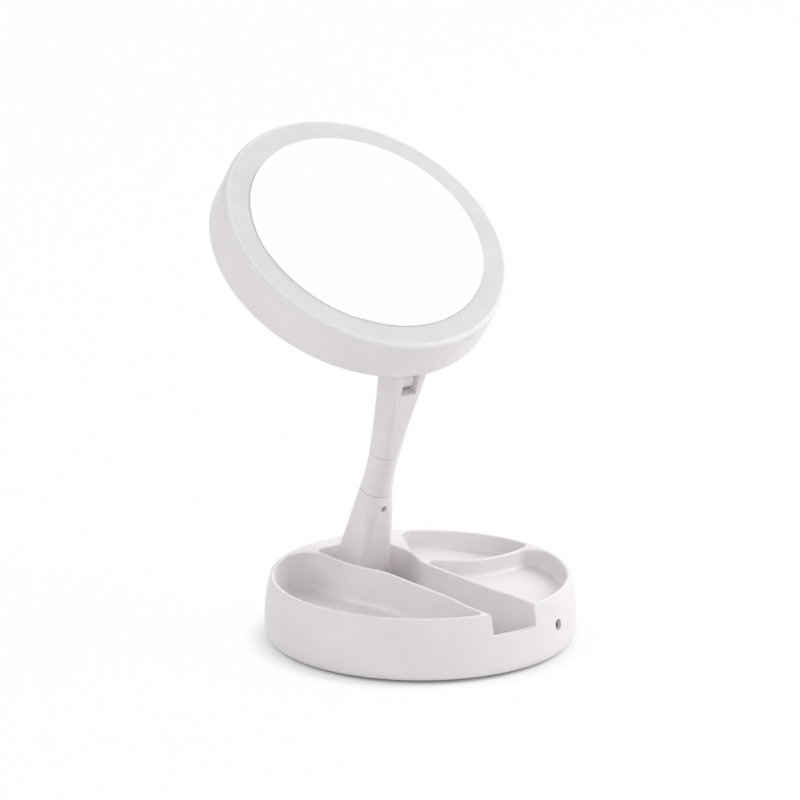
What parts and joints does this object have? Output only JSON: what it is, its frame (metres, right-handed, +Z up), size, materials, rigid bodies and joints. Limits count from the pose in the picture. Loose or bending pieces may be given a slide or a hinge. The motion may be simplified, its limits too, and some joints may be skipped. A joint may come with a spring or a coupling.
{
  "type": "lighted makeup mirror",
  "caption": "Round lighted makeup mirror on a folding, swivelling arm over a round tray base with pockets and a slot that the arm folds into.",
  "frame": {"origin": "on the table under the middle of the round base", "axes": "+Z up, -Y towards the user at the open end of the slot, +X to the user's right"},
  "size_m": [0.175, 0.2194, 0.2739],
  "materials": {
    "shell_white": "smooth moulded white, slightly glossy",
    "inner_white": "moulded white, unpolished",
    "foot_rubber": "soft grey strip",
    "steel": "plain steel",
    "nickel_spring": "plated contact",
    "cell_sleeve": "printed can, plain",
    "jack_black": "black moulded",
    "board": "solder-masked board",
    "board_white": "white board",
    "led": "phosphor",
    "washer_nylon": "nylon",
    "frosted": "frosted, lets light through",
    "mirror": "silvered glass",
    "foam": "adhesive foam"
  },
  "bodies": {
    "base": {"base_tray": "shell_white", "base_cover": "inner_white", "non_slip_strips": "foot_rubber", "base_screws": "steel", "batteries": "cell_sleeve", "battery_contacts": "nickel_spring", "dc_jack": "jack_black", "power_switch": "jack_black", "control_board": "board", "pivot_pin": "steel", "pivot_washers": "washer_nylon"},
    "battery_door": {"battery_door": "inner_white"},
    "power_button": {"power_button": "shell_white"},
    "lower_arm": {"lower_arm_front": "shell_white", "lower_arm_rear": "shell_white", "lower_arm_screw": "steel", "swivel_collar": "shell_white", "swivel_spindle": "steel", "swivel_washer": "washer_nylon", "swivel_nut": "steel"},
    "upper_arm": {"upper_arm_front": "shell_white", "upper_arm_rear": "shell_white", "upper_arm_screws": "steel", "hinge_pin": "steel", "hinge_washers": "washer_nylon"},
    "head": {"head_rear_shell": "shell_white", "head_screws": "steel", "diffuser_ring": "frosted", "mirror_glass": "mirror", "glass_pad": "foam", "magnifying_glass": "mirror", "mirror_carrier": "inner_white", "led_board": "board_white", "led_chips": "led"}
  },
  "joints": [
    {"name": "arm_fold", "type": "hinge", "parent": "base", "child": "lower_arm", "pos_m": [0, 0.0592, 0.0213], "axis": [-1, 0, 0], "range_deg": [-58, 18.3]},
    {"name": "arm_swivel", "type": "hinge", "parent": "lower_arm", "child": "upper_arm", "pos_m": [0, 0.0592, 0.0213], "axis": [0, 0.314, -0.9494], "range_deg": [0, 180]},
    {"name": "head_tilt", "type": "hinge", "parent": "upper_arm", "child": "head", "pos_m": [0, 0.01775, 0.14662], "axis": [1, 0, 0], "range_deg": [-101, 53]},
    {"name": "power_button", "type": "slide", "parent": "base", "child": "power_button", "axis": [-0.9397, 0.342, 0], "range_m": [0, 0.001], "stiffness_N_per_m": 1500},
    {"name": "battery_door", "type": "slide", "parent": "base", "child": "battery_door", "axis": [-1, 0, 0], "range_m": [0, 0.012]}
  ]
}
